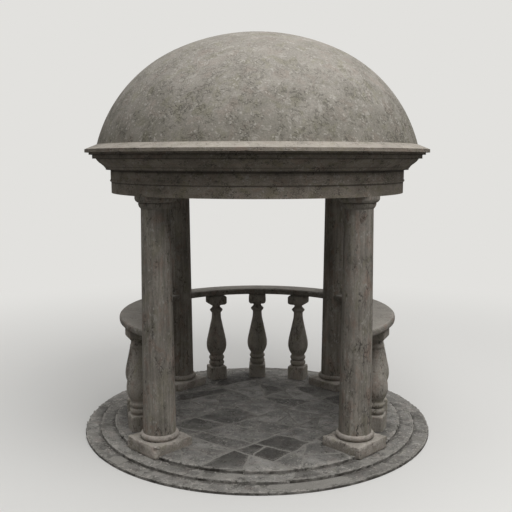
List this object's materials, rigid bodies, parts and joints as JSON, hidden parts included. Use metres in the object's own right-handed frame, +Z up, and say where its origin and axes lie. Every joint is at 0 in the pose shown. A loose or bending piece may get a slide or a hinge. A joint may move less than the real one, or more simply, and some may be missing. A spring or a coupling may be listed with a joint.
{
  "type": "domed stone gazebo",
  "caption": "Open round stone gazebo: columns on low round steps carry a moulded ring and a smooth dome, with baluster railings between the columns and an open front.",
  "frame": {"origin": "centre of the lowest step's underside, on the ground", "axes": "+Z up along the rotunda's axis, -Y towards the open front bay, +X to the right seen from the front"},
  "size_m": [3.5998, 3.5998, 4.0135],
  "materials": {
    "paving_stone": "rough grey flagstone",
    "column_stone": "weathered veined travertine",
    "balustrade_stone": "weathered limestone",
    "entablature_stone": "weathered limestone with moss stains",
    "dome_stone": "pitted mottled limestone"
  },
  "bodies": {
    "root": {"back_architrave": "entablature_stone", "back_left_baluster": "balustrade_stone", "back_left_base": "column_stone", "back_left_capital": "column_stone", "back_left_cornice": "entablature_stone", "back_left_plinth": "column_stone", "back_left_shaft": "column_stone", "back_middle_baluster": "balustrade_stone", "back_rail": "balustrade_stone", "back_right_baluster": "balustrade_stone", "back_right_base": "column_stone", "back_right_capital": "column_stone", "back_right_cornice": "entablature_stone", "back_right_plinth": "column_stone", "back_right_shaft": "column_stone", "dome": "dome_stone", "floor_slab": "paving_stone", "front_architrave": "entablature_stone", "front_left_base": "column_stone", "front_left_capital": "column_stone", "front_left_cornice": "entablature_stone", "front_left_plinth": "column_stone", "front_left_shaft": "column_stone", "front_right_base": "column_stone", "front_right_capital": "column_stone", "front_right_cornice": "entablature_stone", "front_right_plinth": "column_stone", "front_right_shaft": "column_stone", "left_architrave": "entablature_stone", "left_back_baluster": "balustrade_stone", "left_front_baluster": "balustrade_stone", "left_middle_baluster": "balustrade_stone", "left_rail": "balustrade_stone", "lower_step": "paving_stone", "middle_step": "paving_stone", "right_architrave": "entablature_stone", "right_back_baluster": "balustrade_stone", "right_front_baluster": "balustrade_stone", "right_middle_baluster": "balustrade_stone", "right_rail": "balustrade_stone"}
  },
  "joints": []
}
